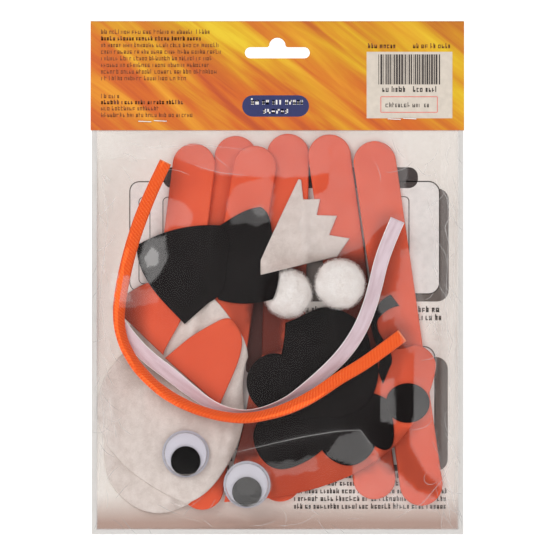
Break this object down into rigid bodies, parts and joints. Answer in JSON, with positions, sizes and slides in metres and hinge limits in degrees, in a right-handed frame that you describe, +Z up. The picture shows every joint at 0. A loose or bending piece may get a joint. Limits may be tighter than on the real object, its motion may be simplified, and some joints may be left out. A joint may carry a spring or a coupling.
{
  "type": "craft stick puppet kit",
  "caption": "Hanging clear bag with a folded orange header card, holding foam sticks, felt fox pieces, pom-poms, wiggle eyes, string and ribbon.",
  "frame": {"origin": "centre of the round notch of the hang slot, half way through the folded header card", "axes": "+Z up as the pack hangs, +X to the right of a person looking at the near side of the bag, -Y towards that person; the far side with the plain film faces +Y"},
  "size_m": [0.19, 0.0219, 0.2611],
  "materials": {
    "header_card": "satin",
    "staple_steel": "satin",
    "bag_film": "gloss",
    "printed_sheet": "matte",
    "orange_foam": "matte",
    "black_felt": "matte",
    "white_felt": "matte",
    "white_pom_pom": "matte",
    "black_foam": "matte",
    "eye_white": "gloss",
    "eye_clear": "gloss",
    "eye_black": "gloss",
    "orange_string": "matte",
    "white_ribbon": "satin"
  },
  "bodies": {
    "pack": {"header_card": "header_card", "bag_near_film": "bag_film", "bag_far_film": "bag_film", "instruction_sheet": "printed_sheet", "staple_left": "staple_steel", "staple_right": "staple_steel", "foam_stick_1": "orange_foam", "foam_stick_2": "orange_foam", "foam_stick_3": "orange_foam", "foam_stick_4": "orange_foam", "foam_stick_5": "orange_foam", "foam_stick_6": "orange_foam", "foam_head": "orange_foam", "inner_ear_left": "orange_foam", "inner_ear_right": "orange_foam", "paw_felt_upper": "black_felt", "paw_felt_lower": "black_felt", "outer_ear_left": "black_felt", "outer_ear_right": "black_felt", "mouth_felt": "black_felt", "muzzle_felt": "white_felt", "belly_felt": "white_felt", "tail_tip_felt": "white_felt", "nose": "black_foam", "pom_pom_left": "white_pom_pom", "pom_pom_right": "white_pom_pom", "eye_left_base": "eye_white", "eye_left_dome": "eye_clear", "eye_right_base": "eye_white", "eye_right_dome": "eye_clear", "string": "orange_string", "ribbon": "white_ribbon"},
    "left_pupil": {"eye_left_pupil": "eye_black"},
    "right_pupil": {"eye_right_pupil": "eye_black"}
  },
  "joints": [
    {"name": "left_pupil_roll", "type": "hinge", "parent": "pack", "child": "left_pupil", "pos_m": [-0.0464, -0.01135, -0.2068], "axis": [0, 1, 0], "continuous": true},
    {"name": "right_pupil_roll", "type": "hinge", "parent": "pack", "child": "right_pupil", "pos_m": [-0.0154, -0.01075, -0.2224], "axis": [0, 1, 0], "continuous": true}
  ]
}
